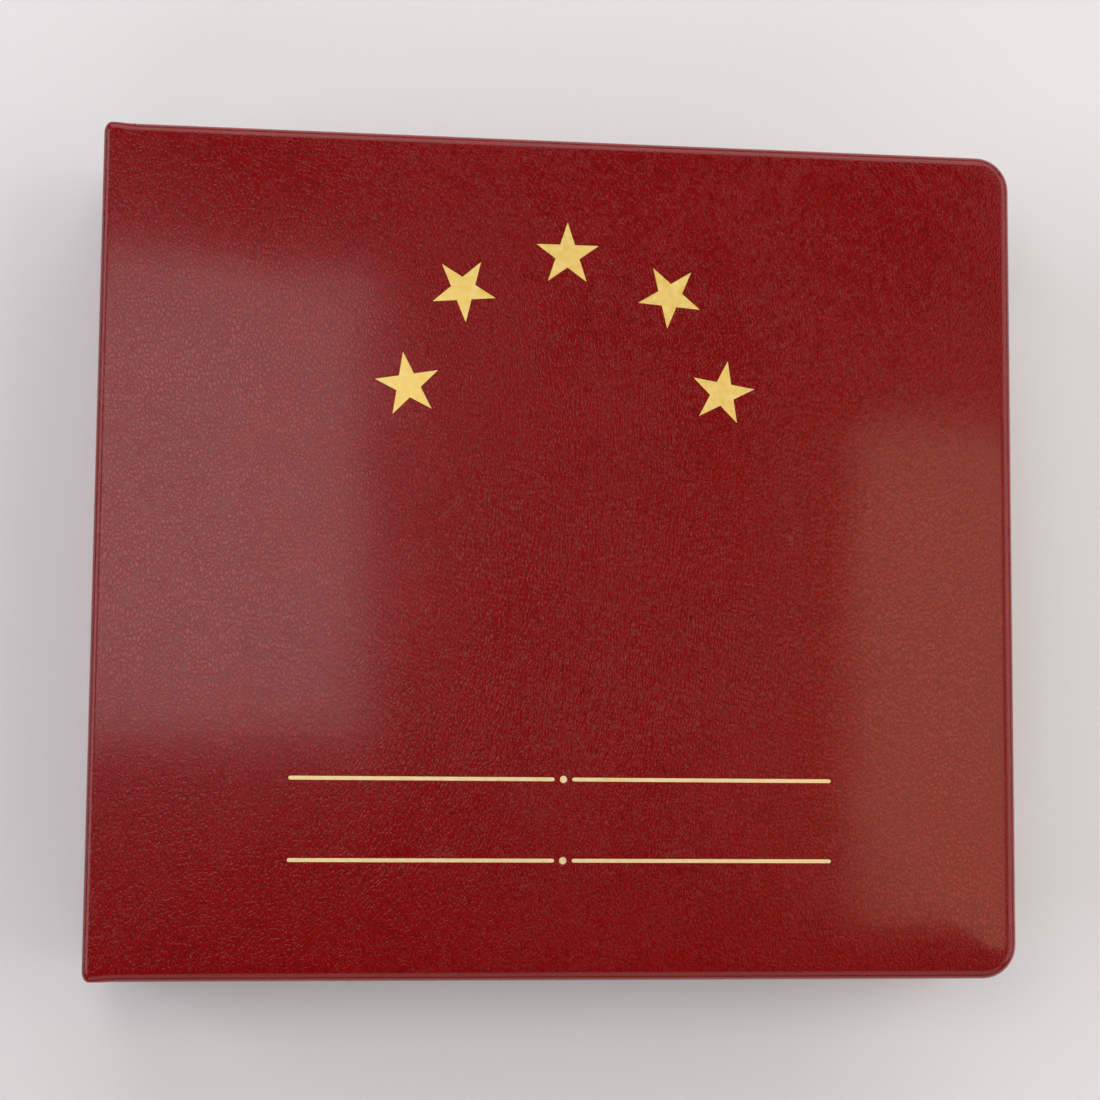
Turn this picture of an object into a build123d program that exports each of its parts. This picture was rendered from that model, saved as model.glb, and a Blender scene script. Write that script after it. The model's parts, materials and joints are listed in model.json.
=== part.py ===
from build123d import *
import os
from math import asin, atan2, cos, degrees, hypot, radians, sin, sqrt

# Ring-bound stamp album, lying closed on its back cover.  Millimetres.
# Origin: centre of the underside.  +X points from the spine to the fore-edge,
# +Y from the tail to the head, +Z up through the front cover.

os.makedirs("parts", exist_ok=True)

# ---------------------------------------------------------------- driving dimensions

# Album outline
album_width = 268.0
album_height = 244.0
corner_radius = 10.0
edge_roll = 3.0
inner_corner_radius = 1.0

# Layers of a padded panel, from the outside in
skin_thickness = 0.9
padding_thickness = 2.6
board_thickness = 2.2
liner_thickness = 0.4
turn_in_width = 12.0
liner_inset = 5.0

# Hinge folds along the spine
fold_radius = 2.5
hinge_gap = 2.0

# Ring mechanism
ring_radius = 17.0
wire_radius = 1.4
ring_count = 3
ring_spacing = 70.0
ring_cover_gap = 2.6
ring_tip_gap = 0.2
ring_open_angle = 5.0
leg_offset = 8.0
plate_length = 190.0
plate_width = 22.0
plate_height = 6.6
plate_sheet = 0.8
plate_ring_gap = 0.8
blade_sheet = 0.8
blade_height = 2.2
blade_gap = 0.25
blade_side_gap = 0.3
blade_end_gap = 12.0
leg_slot_gap = 0.5

# Levers and their pins
pin_radius = 1.0
pin_running_gap = 0.05
pin_end_gap = 6.0
lever_barrel_wall = 1.0
lever_sheet = 1.0
lever_width = 14.0
lever_overhang = 3.5
lever_rise = 7.5
lever_pad = 3.5

# Rivets through the spine
rivet_spacing = 92.0
rivet_shank_radius = 2.0
rivet_head_radius = 5.0
rivet_head_height = 2.0
rivet_inner_head_radius = 3.6
rivet_inner_head_height = 0.8
rivet_fit_gap = 0.1
rivet_dimple_gap = 0.3
blade_rivet_gap = 1.0

# Pages
page_count = 8
page_thickness = 1.8
page_edge_margin = 6.0
page_fore_margin = 7.5
page_plate_gap = 2.4
page_rest_gap = 0.5
film_thickness = 0.25
binding_strip = 22.0
weld_width = 4.0
slot_width = 6.0
slot_margin = 6.0
slot_wire_gap = 0.3
mouth_width = 1.2
card_thickness = 0.7
card_gap = 1.5
stamp_thickness = 0.15
stamp_width = 30.0
stamp_height = 40.0
stamp_columns = 3
stamp_pitch = 56.0

# Foil on the front cover
foil_depth = 0.3
foil_thickness = 0.1
star_count = 5
star_radius = 9.8
star_inner_ratio = 0.382
star_arc_radius = 46.5
star_arc_centre_y = 40.7
star_step_angle = 40.7
rule_length = 157.0
rule_width = 1.1
rule_dot_diameter = 2.1
rule_dot_gap = 1.0
rule_y_upper = -65.0
rule_y_lower = -88.0

# ---------------------------------------------------------------- sizes that follow

cover_thickness = 2 * skin_thickness + padding_thickness + board_thickness + liner_thickness
album_thickness = 2 * (cover_thickness + ring_cover_gap + ring_radius + wire_radius)
hinge_width = cover_thickness + hinge_gap
spine_x = -album_width / 2
fore_x = album_width / 2
mid_z = album_thickness / 2
spine_inner_x = spine_x + cover_thickness

# Ring mechanism, measured from the spine's inner face
plate_top_x = spine_inner_x + plate_height
blade_base_x = spine_inner_x + blade_height
blade_top_x = blade_base_x + blade_sheet
ring_leg_depth = sqrt(ring_radius**2 - leg_offset**2)
ring_x = plate_top_x + plate_ring_gap + ring_leg_depth
ring_arc_angle = 180 - degrees(atan2(leg_offset, ring_leg_depth))
wall_inner_z = plate_width / 2 - plate_sheet
blade_edge_z = wall_inner_z - blade_side_gap
ring_ys = [(i - (ring_count - 1) / 2) * ring_spacing for i in range(ring_count)]
rivet_ys = [-rivet_spacing / 2, rivet_spacing / 2]
pin_y = plate_length / 2 - pin_end_gap
pin_x = (blade_base_x + blade_top_x) / 2

# Page stack: offsets of the page centre planes from the ring axis
outer_page_offset = ring_leg_depth + plate_ring_gap - page_plate_gap - page_thickness / 2
page_pitch = 2 * outer_page_offset / (page_count - 1)
page_offsets = [outer_page_offset - i * page_pitch for i in range(page_count)]


def wire_inner_reach(offset):
    """Least distance of the wire from the ring axis, along a page at this offset."""
    face = abs(offset) + page_thickness / 2
    return sqrt((ring_radius - wire_radius) ** 2 - face**2)


def wire_outer_reach(offset):
    """Greatest distance of the wire from the ring axis, along a page at this offset."""
    face = abs(offset) - page_thickness / 2
    return sqrt((ring_radius + wire_radius) ** 2 - face**2)


def opened_shift(offset):
    """How far the wire moves outwards along a page when its blade is fully open."""
    arm = ring_x - pin_x
    swing = radians(ring_open_angle)
    shift_x = arm * cos(swing) + blade_edge_z * sin(swing) - arm
    shift_z = arm * sin(swing) - blade_edge_z * cos(swing) + blade_edge_z
    moved = sqrt(ring_radius**2 - (abs(offset) - shift_z) ** 2)
    return shift_x + moved - sqrt(ring_radius**2 - offset**2)


slot_length = (
    wire_outer_reach(outer_page_offset)
    - wire_inner_reach(outer_page_offset)
    + opened_shift(outer_page_offset)
    + 2 * slot_wire_gap
)
page_height = album_height - 2 * page_edge_margin
middle_page_start = wire_inner_reach(page_pitch / 2) - slot_wire_gap - slot_margin
page_width = fore_x - page_fore_margin - ring_x - middle_page_start
pocket_width = page_width - binding_strip - weld_width
pocket_height = (page_height - 3 * weld_width) / 2
pocket_depth = page_thickness - 2 * film_thickness
pocket_y = (pocket_height + weld_width) / 2


def page_start(offset):
    """Distance from the ring axis to a page's inner edge."""
    return wire_inner_reach(offset) - slot_wire_gap - slot_margin


# The stack leans on the back cover: the bottom page's fore-edge is the lowest.
stack_face = outer_page_offset + page_thickness / 2
stack_far = page_start(outer_page_offset) + page_width
stack_drop = mid_z - cover_thickness - page_rest_gap
stack_tilt = asin(stack_drop / hypot(stack_face, stack_far)) - atan2(stack_face, stack_far)


def finish(piece, name):
    """Label a finished piece and write its file."""
    piece.part.label = name
    export_step(piece.part, f"parts/{name}.step")


# ---------------------------------------------------------------- foil outlines


def star_places():
    """Centre and turn of each star; the middle one stands upright."""
    first = 90 + star_step_angle * (star_count - 1) / 2
    places = []
    for i in range(star_count):
        turn = first - i * star_step_angle
        x = star_arc_radius * cos(radians(turn))
        y = star_arc_centre_y + star_arc_radius * sin(radians(turn))
        places.append(Location((x, y, 0), (0, 0, turn - 90)))
    return places


def star_points():
    """Corners of one star, starting from its upper tip."""
    points = []
    for i in range(10):
        reach = star_radius if i % 2 == 0 else star_radius * star_inner_ratio
        turn = radians(90 + 36 * i)
        points.append((reach * cos(turn), reach * sin(turn)))
    return points


with BuildSketch(Plane.XY) as star_shapes:
    with Locations(*star_places()):
        Polygon(*star_points(), align=None)

rule_half = (rule_length - rule_dot_diameter) / 2 - rule_dot_gap
rule_centre_x = rule_dot_diameter / 2 + rule_dot_gap + rule_half / 2

with BuildSketch(Plane.XY) as rule_shapes:
    for rule_y in (rule_y_upper, rule_y_lower):
        with Locations((-rule_centre_x, rule_y), (rule_centre_x, rule_y)):
            SlotOverall(rule_half, rule_width)
        with Locations((0, rule_y)):
            Circle(rule_dot_diameter / 2)

# ---------------------------------------------------------------- padded panels
#
# Each panel is built on its outer face's plane, whose normal points inwards.
# Local x runs from "low" at the hinge side to "high"; local y along the spine.

back_plane = Plane(origin=(0, 0, 0), x_dir=(1, 0, 0), z_dir=(0, 0, 1))
front_plane = Plane(origin=(0, 0, album_thickness), x_dir=(1, 0, 0), z_dir=(0, 0, -1))
spine_plane = Plane(origin=(spine_x, 0, mid_z), x_dir=(0, 0, 1), z_dir=(1, 0, 0))

padding_level = skin_thickness
board_level = padding_level + padding_thickness
turn_in_level = board_level + board_thickness
liner_level = turn_in_level + skin_thickness


def panel_outline(low, high, inset, free_radius):
    """Rectangle whose two corners away from the hinge are rounded, if it has free corners."""
    with BuildSketch() as outline:
        with Locations(((low + high) / 2, 0)):
            Rectangle(high - low - 2 * inset, album_height - 2 * inset)
        if free_radius > 0:
            free_corners = outline.vertices().group_by(Axis.X)[-1]
            fillet(free_corners, max(free_radius - inset, inner_corner_radius))
    return outline.sketch


def edges_to_roll(builder, plane, rolled):
    """Edges of a panel's outer face that are rounded over its padding."""
    outer_edges = builder.faces().sort_by(Axis(plane.origin, plane.z_dir))[0].edges()
    if rolled == "ends":
        along_y = outer_edges.group_by(Axis.Y)
        return along_y[0] + along_y[-1]
    hinge_edge = outer_edges.sort_by(Axis.X)[0]
    return ShapeList([edge for edge in outer_edges if edge != hinge_edge])


def make_layer(plane, level, thickness, outline, holes):
    """One flat layer of a panel with round holes at the rivets."""
    with BuildPart() as layer:
        with BuildSketch(plane.offset(level)):
            add(outline)
            if holes > 0:
                with Locations(*[(0, y) for y in rivet_ys]):
                    Circle(holes, mode=Mode.SUBTRACT)
        extrude(amount=thickness)
    return layer


def make_skin(plane, low, high, free_radius, rolled, holes):
    """Covering wrapped round the padding and board, and turned in round the inner face."""
    outline = panel_outline(low, high, 0, free_radius)
    cavity = panel_outline(low, high, skin_thickness, free_radius)
    window = panel_outline(low, high, turn_in_width, free_radius)
    with BuildPart() as skin:
        with BuildSketch(plane):
            add(outline)
        extrude(amount=liner_level)
        fillet(edges_to_roll(skin, plane, rolled), edge_roll)
        with BuildSketch(plane.offset(padding_level)):
            add(cavity)
        extrude(amount=padding_thickness + board_thickness, mode=Mode.SUBTRACT)
        with BuildSketch(plane.offset(turn_in_level)):
            add(window)
        extrude(amount=skin_thickness, mode=Mode.SUBTRACT)
        if holes > 0:
            with BuildSketch(plane):
                with Locations(*[(0, y) for y in rivet_ys]):
                    Circle(holes)
            extrude(amount=skin_thickness, mode=Mode.SUBTRACT)
    return skin


def make_panel(prefix, plane, low, high, free_radius, rolled):
    """The padding, board and liner of one panel."""
    rivet_hole = rivet_shank_radius + rivet_fit_gap if prefix == "spine" else 0
    head_hole = rivet_head_radius + rivet_dimple_gap if prefix == "spine" else 0
    cavity = panel_outline(low, high, skin_thickness, free_radius)
    lining = panel_outline(low, high, liner_inset, free_radius)

    plain_padding = make_layer(plane, padding_level, padding_thickness, cavity, head_hole)
    with BuildPart() as padding:
        add(plain_padding.part)
        fillet(edges_to_roll(padding, plane, rolled), edge_roll - skin_thickness)
    finish(padding, f"{prefix}_padding")
    finish(make_layer(plane, board_level, board_thickness, cavity, rivet_hole), f"{prefix}_board")
    finish(make_layer(plane, liner_level, liner_thickness, lining, rivet_hole), f"{prefix}_liner")
    return make_skin(plane, low, high, free_radius, rolled, head_hole)


cover_low = spine_x + hinge_width
spine_half = mid_z - hinge_width

back_leatherette = make_panel("back", back_plane, cover_low, fore_x, corner_radius, "three sides")
finish(back_leatherette, "back_leatherette")

spine_leatherette = make_panel("spine", spine_plane, -spine_half, spine_half, 0, "ends")
finish(spine_leatherette, "spine_leatherette")

front_shell = make_panel("front", front_plane, cover_low, fore_x, corner_radius, "three sides")
with BuildPart() as front_leatherette:
    add(front_shell.part)
    with BuildSketch(Plane.XY.offset(album_thickness)):
        add(star_shapes.sketch)
        add(rule_shapes.sketch)
    extrude(amount=-foil_depth, mode=Mode.SUBTRACT)
finish(front_leatherette, "front_leatherette")

foil_plane = Plane.XY.offset(album_thickness - foil_depth)

with BuildPart() as foil_stars:
    with BuildSketch(foil_plane):
        add(star_shapes.sketch)
    extrude(amount=foil_thickness)
finish(foil_stars, "foil_stars")

with BuildPart() as foil_rules:
    with BuildSketch(foil_plane):
        add(rule_shapes.sketch)
    extrude(amount=foil_thickness)
finish(foil_rules, "foil_rules")

# ---------------------------------------------------------------- hinge folds


def make_fold(outer_level, thickness, upper):
    """Strip that bends round a spine edge, from a cover's edge to the spine's edge."""
    radius = fold_radius - outer_level
    inner_level = outer_level + thickness
    centre_x = spine_x + fold_radius
    cover_edge_x = spine_x + hinge_width
    with BuildPart() as fold:
        with BuildSketch(Plane.XZ.offset(-album_height / 2)):
            with BuildLine():
                Line((cover_edge_x, outer_level), (centre_x, outer_level))
                CenterArc((centre_x, fold_radius), radius, 180, 90)
                Line((spine_x + outer_level, fold_radius), (spine_x + outer_level, hinge_width))
                Line((spine_x + outer_level, hinge_width), (spine_x + inner_level, hinge_width))
                Line((spine_x + inner_level, hinge_width), (spine_x + inner_level, fold_radius))
                CenterArc((centre_x, fold_radius), radius - thickness, 180, 90)
                Line((centre_x, inner_level), (cover_edge_x, inner_level))
                Line((cover_edge_x, inner_level), (cover_edge_x, outer_level))
            make_face()
        extrude(amount=album_height)
        if upper:
            mirror(about=Plane.XY.offset(mid_z), mode=Mode.REPLACE)
    return fold


finish(make_fold(0, skin_thickness, False), "back_hinge_fold")
finish(make_fold(0, skin_thickness, True), "front_hinge_fold")
finish(make_fold(skin_thickness, liner_thickness, False), "back_hinge_liner")
finish(make_fold(skin_thickness, liner_thickness, True), "front_hinge_liner")

# ---------------------------------------------------------------- ring mechanism

plate_face = Plane(origin=(plate_top_x, 0, mid_z), x_dir=(0, 1, 0), z_dir=(1, 0, 0))
liner_face = Plane(origin=(spine_inner_x, 0, mid_z), x_dir=(0, 1, 0), z_dir=(1, 0, 0))
blade_face = Plane(origin=(blade_base_x, 0, mid_z), x_dir=(0, 1, 0), z_dir=(1, 0, 0))
pin_plane = Plane.XY.offset(mid_z)
leg_places = [(y, side * leg_offset) for y in ring_ys for side in (-1, 1)]
slot_half = wire_radius + leg_slot_gap

with BuildPart() as ring_plate:
    with BuildSketch(liner_face):
        Rectangle(plate_length, plate_width)
    extrude(amount=plate_height)
    fillet(ring_plate.faces().sort_by(Axis.X)[-1].edges().filter_by(Axis.Y), plate_sheet)
    with BuildSketch(liner_face):
        Rectangle(plate_length, 2 * wall_inner_z)
    extrude(amount=plate_height - plate_sheet, mode=Mode.SUBTRACT)
    with BuildSketch(plate_face):
        with Locations(*leg_places):
            Rectangle(2 * slot_half, 2 * slot_half)
        with Locations(*[(y, 0) for y in rivet_ys]):
            Circle(rivet_shank_radius + rivet_fit_gap)
    extrude(amount=-plate_sheet, mode=Mode.SUBTRACT)
    with BuildSketch(pin_plane):
        with Locations((pin_x, -pin_y), (pin_x, pin_y)):
            Circle(pin_radius)
    extrude(amount=plate_width / 2, both=True, mode=Mode.SUBTRACT)
finish(ring_plate, "ring_plate")

blade_length = plate_length - 2 * blade_end_gap


def make_blade(side):
    """One blade: side is +1 for the half nearer the front cover, -1 for the other."""
    blade_width = blade_edge_z - blade_gap
    with BuildPart() as blade:
        with BuildSketch(blade_face):
            with Locations((0, side * (blade_gap + blade_width / 2))):
                Rectangle(blade_length, blade_width)
            with Locations(*[(y, 0) for y in rivet_ys]):
                Circle(rivet_shank_radius + blade_rivet_gap, mode=Mode.SUBTRACT)
        extrude(amount=blade_sheet)
    return blade


def make_ring_halves(side):
    """Three bent wires: a leg standing on the blade, a bend and an arc up to the tip."""
    tip_turn = degrees(ring_tip_gap / 2 / ring_radius)
    ring_axis = Axis((ring_x, 0, mid_z), (0, -side, 0))
    tip_dir = (cos(radians(tip_turn)), 0, side * sin(radians(tip_turn)))
    tip_normal = (-side * sin(radians(tip_turn)), 0, cos(radians(tip_turn)))
    tip_plane = Plane(origin=(ring_x, 0, mid_z), x_dir=tip_dir, z_dir=tip_normal)
    leg_length = ring_x - ring_leg_depth - blade_top_x
    leg_base = blade_face.offset(blade_sheet)
    bend_x = ring_x - ring_leg_depth
    with BuildPart() as halves:
        with BuildSketch(tip_plane):
            with Locations(*[(ring_radius, y) for y in ring_ys]):
                Circle(wire_radius)
        revolve(axis=ring_axis, revolution_arc=ring_arc_angle - tip_turn)
        with BuildSketch(leg_base):
            with Locations(*[(y, side * leg_offset) for y in ring_ys]):
                Circle(wire_radius)
        extrude(amount=leg_length)
        with Locations(*[(bend_x, y, mid_z + side * leg_offset) for y in ring_ys]):
            Sphere(wire_radius)
    return halves


for blade_name, blade_side in (("upper", 1), ("lower", -1)):
    finish(make_blade(blade_side), f"{blade_name}_ring_blade")
    finish(make_ring_halves(blade_side), f"{blade_name}_ring_halves")

barrel_radius = pin_radius + lever_barrel_wall
lever_end_y = plate_length / 2 + lever_overhang


def make_lever(end):
    """Thumb lever: a barrel on the pin, a web out past the plate and a raised tab."""
    with BuildPart() as lever:
        with BuildSketch(pin_plane):
            with Locations((pin_x, end * pin_y)):
                Circle(barrel_radius)
        extrude(amount=lever_width / 2, both=True)
        with BuildSketch(pin_plane):
            with BuildLine():
                FilletPolyline(
                    (pin_x, end * (pin_y + pin_radius + lever_barrel_wall / 2)),
                    (pin_x, end * lever_end_y),
                    (spine_inner_x + lever_rise, end * lever_end_y),
                    (spine_inner_x + lever_rise, end * (lever_end_y + lever_pad)),
                    radius=lever_sheet,
                )
            trace(line_width=lever_sheet)
        extrude(amount=lever_width / 2, both=True)
        with BuildSketch(pin_plane):
            with Locations((pin_x, end * pin_y)):
                Circle(pin_radius + pin_running_gap)
        extrude(amount=lever_width / 2, both=True, mode=Mode.SUBTRACT)
    return lever


finish(make_lever(1), "head_lever")
finish(make_lever(-1), "tail_lever")

with BuildPart() as lever_pins:
    with BuildSketch(pin_plane):
        with Locations((pin_x, -pin_y), (pin_x, pin_y)):
            Circle(pin_radius)
    extrude(amount=plate_width / 2, both=True)
finish(lever_pins, "lever_pins")

board_face = spine_plane.offset(board_level)
rivet_places = [(0, y) for y in rivet_ys]
rivet_length = plate_top_x - spine_x - board_level

with BuildPart() as spine_rivets:
    with BuildSketch(board_face):
        with Locations(*rivet_places):
            Circle(rivet_shank_radius)
    extrude(amount=rivet_length)
    with BuildSketch(board_face):
        with Locations(*rivet_places):
            Circle(rivet_head_radius)
    extrude(amount=-rivet_head_height)
    with BuildSketch(board_face.offset(rivet_length)):
        with Locations(*rivet_places):
            Circle(rivet_inner_head_radius)
    extrude(amount=rivet_inner_head_height)
    fillet(spine_rivets.edges().group_by(Axis.X)[0], rivet_head_height / 2)
    fillet(spine_rivets.edges().group_by(Axis.X)[-1], rivet_inner_head_height / 2)
finish(spine_rivets, "spine_rivets")

# ---------------------------------------------------------------- pages
#
# A page is built on its own plane through the tilted stack: local x runs out
# from the ring axis, local y along the spine, local z through the page.

tilt_x = (cos(stack_tilt), 0, -sin(stack_tilt))
tilt_z = (sin(stack_tilt), 0, cos(stack_tilt))
stack_plane = Plane(origin=(ring_x, 0, mid_z), x_dir=tilt_x, z_dir=tilt_z)


def make_page(number, page_offset):
    """Sleeve, cards and stamps of one page."""
    start_x = page_start(page_offset)
    pocket_x = start_x + binding_strip + pocket_width / 2
    mouth_x = start_x + binding_strip + mouth_width / 2
    slot_x = start_x + slot_margin + slot_length / 2
    base = stack_plane.offset(page_offset - page_thickness / 2)
    floor = base.offset(film_thickness)
    card_base = floor.offset(stamp_thickness)
    card_centres = [(pocket_x, -pocket_y), (pocket_x, pocket_y)]
    card_width = pocket_width - 2 * card_gap
    card_height = pocket_height - 2 * card_gap
    first_stamp = pocket_x - (stamp_columns - 1) * stamp_pitch / 2
    stamp_centres = [
        (first_stamp + i * stamp_pitch, y) for i in range(stamp_columns) for y in (-pocket_y, pocket_y)
    ]

    with BuildPart() as sleeve:
        with BuildSketch(base):
            with Locations((start_x + page_width / 2, 0)):
                RectangleRounded(page_width, page_height, weld_width)
            with Locations(*[(slot_x, y) for y in ring_ys]):
                SlotOverall(slot_length, slot_width, mode=Mode.SUBTRACT)
        extrude(amount=page_thickness)
        with BuildSketch(floor):
            with Locations(*card_centres):
                Rectangle(pocket_width, pocket_height)
        extrude(amount=pocket_depth, mode=Mode.SUBTRACT)
        with BuildSketch(floor.offset(pocket_depth)):
            with Locations((mouth_x, -pocket_y), (mouth_x, pocket_y)):
                Rectangle(mouth_width, pocket_height)
        extrude(amount=film_thickness, mode=Mode.SUBTRACT)
    finish(sleeve, f"page_{number}_sleeve")

    with BuildPart() as cards:
        with BuildSketch(card_base):
            with Locations(*card_centres):
                RectangleRounded(card_width, card_height, card_gap)
        extrude(amount=card_thickness)
    finish(cards, f"page_{number}_cards")

    with BuildPart() as stamps:
        with BuildSketch(floor):
            with Locations(*stamp_centres):
                Rectangle(stamp_width, stamp_height)
        extrude(amount=stamp_thickness)
        with BuildSketch(card_base.offset(card_thickness)):
            with Locations(*stamp_centres):
                Rectangle(stamp_width, stamp_height)
        extrude(amount=stamp_thickness)
    finish(stamps, f"page_{number}_stamps")


for page_index, page_level in enumerate(page_offsets):
    make_page(page_index + 1, page_level)
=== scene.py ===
import bpy
import json
import math
from mathutils import Matrix, Vector, geometry, noise


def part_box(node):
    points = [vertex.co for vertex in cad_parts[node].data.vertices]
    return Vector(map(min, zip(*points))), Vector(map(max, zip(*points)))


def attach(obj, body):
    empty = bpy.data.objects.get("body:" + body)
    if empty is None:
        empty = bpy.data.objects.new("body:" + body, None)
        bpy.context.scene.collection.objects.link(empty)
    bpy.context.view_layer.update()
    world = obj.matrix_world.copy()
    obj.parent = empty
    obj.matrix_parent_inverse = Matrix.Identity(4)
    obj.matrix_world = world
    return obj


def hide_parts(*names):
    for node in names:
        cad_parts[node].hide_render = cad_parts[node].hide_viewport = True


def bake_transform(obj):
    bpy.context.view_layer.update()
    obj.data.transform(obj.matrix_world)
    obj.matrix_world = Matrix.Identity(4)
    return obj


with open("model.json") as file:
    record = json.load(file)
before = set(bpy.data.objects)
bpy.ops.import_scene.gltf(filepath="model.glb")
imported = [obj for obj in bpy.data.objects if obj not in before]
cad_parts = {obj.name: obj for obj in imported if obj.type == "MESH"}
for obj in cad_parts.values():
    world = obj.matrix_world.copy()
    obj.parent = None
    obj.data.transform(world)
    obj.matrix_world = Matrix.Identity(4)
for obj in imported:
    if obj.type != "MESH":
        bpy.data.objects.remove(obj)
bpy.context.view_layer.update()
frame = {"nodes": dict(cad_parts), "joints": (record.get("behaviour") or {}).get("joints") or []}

print("stage: frame loaded")

# Places that the pieces share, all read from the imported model, in metres
mm = 0.001
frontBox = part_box("front_leatherette")
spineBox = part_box("spine_leatherette")
joints = {joint["name"]: joint for joint in frame["joints"]}
topZ = frontBox[1].z
foreX = frontBox[1].x
coverLowX = frontBox[0].x
headY = frontBox[1].y
spineX = spineBox[0].x
spineLowZ, spineHighZ = spineBox[0].z, spineBox[1].z
panelDepth = topZ - frontBox[0].z
albumWidth = foreX - spineX
hingeInset = joints["spine_hinge"]["pos_m"][0] - spineX


# Mesh helpers

def makeObject(name, verts, faces, smooth=True):
    mesh = bpy.data.meshes.new(name)
    mesh.from_pydata([tuple(v) for v in verts], [], faces)
    mesh.validate()
    mesh.polygons.foreach_set("use_smooth", [smooth] * len(mesh.polygons))
    if smooth:
        mesh.set_sharp_from_angle(angle=math.radians(36))
    mesh.update()
    piece = bpy.data.objects.new(name, mesh)
    bpy.context.scene.collection.objects.link(piece)
    return piece


def closeShell(outer, inner, faces):
    # outer and inner are the two sides of a sheet with the same faces; its rim is closed.
    count = len(outer)
    sides = {}
    for face in faces:
        for a, b in zip(face, face[1:] + face[:1]):
            sides[(a, b)] = True
    rim = [(b, a, a + count, b + count) for a, b in sides if (b, a) not in sides]
    back = [[i + count for i in reversed(face)] for face in faces]
    return list(outer) + list(inner), [list(f) for f in faces] + back + [list(f) for f in rim]


def storeFloat(piece, name, values):
    attribute = piece.data.attributes.new(name, "FLOAT", "POINT")
    attribute.data.foreach_set("value", values)


def paint(piece, material):
    piece.data.materials.clear()
    piece.data.materials.append(material)


def paintNode(nodeName, material):
    for materialSlot in frame["nodes"][nodeName].material_slots:
        materialSlot.material = material


def settle(piece, slotName, body, *standsFor):
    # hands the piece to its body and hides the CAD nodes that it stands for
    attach(piece, body)
    if standsFor:
        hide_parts(*standsFor)


def addLoop(points, edges, loop):
    # a closed outline for the flat triangulation
    first, count = len(points), len(loop)
    points += [Vector(p) for p in loop]
    edges += [(first + i, first + (i + 1) % count) for i in range(count)]


def arcPoints(centre, radius, start, stop, steps, closed=False):
    # places round a centre, from start degrees up to stop, and at stop as well where closed
    turns = [math.radians(start + (stop - start) * i / steps) for i in range(steps + closed)]
    return [(centre[0] + radius * math.cos(turn), centre[1] + radius * math.sin(turn)) for turn in turns]


# Shader helpers and the groups that several finishes share

def newGroup(name, inputs, outputs):
    group = bpy.data.node_groups.new(name, "ShaderNodeTree")
    for label, kind, value in inputs:
        socket = group.interface.new_socket(label, in_out="INPUT", socket_type=kind)
        if value is not None:
            socket.default_value = value
    for label, kind in outputs:
        group.interface.new_socket(label, in_out="OUTPUT", socket_type=kind)
    return group, group.nodes.new("NodeGroupInput"), group.nodes.new("NodeGroupOutput")


def setOrLink(tree, socket, value):
    if isinstance(value, (int, float, tuple)):
        socket.default_value = value
    else:
        tree.links.new(value, socket)


def mathNode(tree, operation, first, second=0.0, third=0.0, clamp=False):
    node = tree.nodes.new("ShaderNodeMath")
    node.operation = operation
    node.use_clamp = clamp
    for i, value in enumerate((first, second, third)):
        setOrLink(tree, node.inputs[i], value)
    return node.outputs[0]


def calculator(tree):
    return lambda operation, *values: mathNode(tree, operation, *values)


def rangeNode(tree, value, low, high, outLow=0.0, outHigh=1.0, smooth=False):
    node = tree.nodes.new("ShaderNodeMapRange")
    node.interpolation_type = "SMOOTHSTEP" if smooth else "LINEAR"
    setOrLink(tree, node.inputs["Value"], value)
    for label, number in (("From Min", low), ("From Max", high), ("To Min", outLow), ("To Max", outHigh)):
        setOrLink(tree, node.inputs[label], number)
    return node.outputs[0]


def mixColour(tree, factor, first, second, blend="MIX"):
    node = tree.nodes.new("ShaderNodeMix")
    node.data_type = "RGBA"
    node.blend_type = blend
    for i, value in ((0, factor), (6, first), (7, second)):
        setOrLink(tree, node.inputs[i], value)
    return node.outputs[2]


def noiseNode(tree, vector, scale, detail=4.0, roughness=0.55, distortion=0.0):
    node = tree.nodes.new("ShaderNodeTexNoise")
    tree.links.new(vector, node.inputs["Vector"])
    setOrLink(tree, node.inputs["Scale"], scale)
    node.inputs["Detail"].default_value = detail
    node.inputs["Roughness"].default_value = roughness
    node.inputs["Distortion"].default_value = distortion
    return node.outputs["Fac"]


def voronoiNode(tree, vector, scale, feature, randomness=1.0):
    node = tree.nodes.new("ShaderNodeTexVoronoi")
    node.feature = feature
    tree.links.new(vector, node.inputs["Vector"])
    setOrLink(tree, node.inputs["Scale"], scale)
    node.inputs["Randomness"].default_value = randomness
    return node.outputs["Distance"]


def stretchNode(tree, vector, scale, turn=(0.0, 0.0, 0.0)):
    node = tree.nodes.new("ShaderNodeMapping")
    tree.links.new(vector, node.inputs["Vector"])
    node.inputs["Scale"].default_value = scale
    node.inputs["Rotation"].default_value = turn
    return node.outputs[0]


def bendVector(tree, vector, scale, amount):
    # Pushes a vector about with noise, so that no cell or line runs straight.
    wander = tree.nodes.new("ShaderNodeTexNoise")
    tree.links.new(vector, wander.inputs["Vector"])
    setOrLink(tree, wander.inputs["Scale"], scale)
    wander.inputs["Detail"].default_value = 2.0
    centred = tree.nodes.new("ShaderNodeVectorMath")
    centred.operation = "SUBTRACT"
    tree.links.new(wander.outputs["Color"], centred.inputs[0])
    centred.inputs[1].default_value = (0.5, 0.5, 0.5)
    scaled = tree.nodes.new("ShaderNodeVectorMath")
    scaled.operation = "SCALE"
    tree.links.new(centred.outputs[0], scaled.inputs[0])
    setOrLink(tree, scaled.inputs["Scale"], amount)
    added = tree.nodes.new("ShaderNodeVectorMath")
    added.operation = "ADD"
    tree.links.new(vector, added.inputs[0])
    tree.links.new(scaled.outputs[0], added.inputs[1])
    return added.outputs[0]


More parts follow.
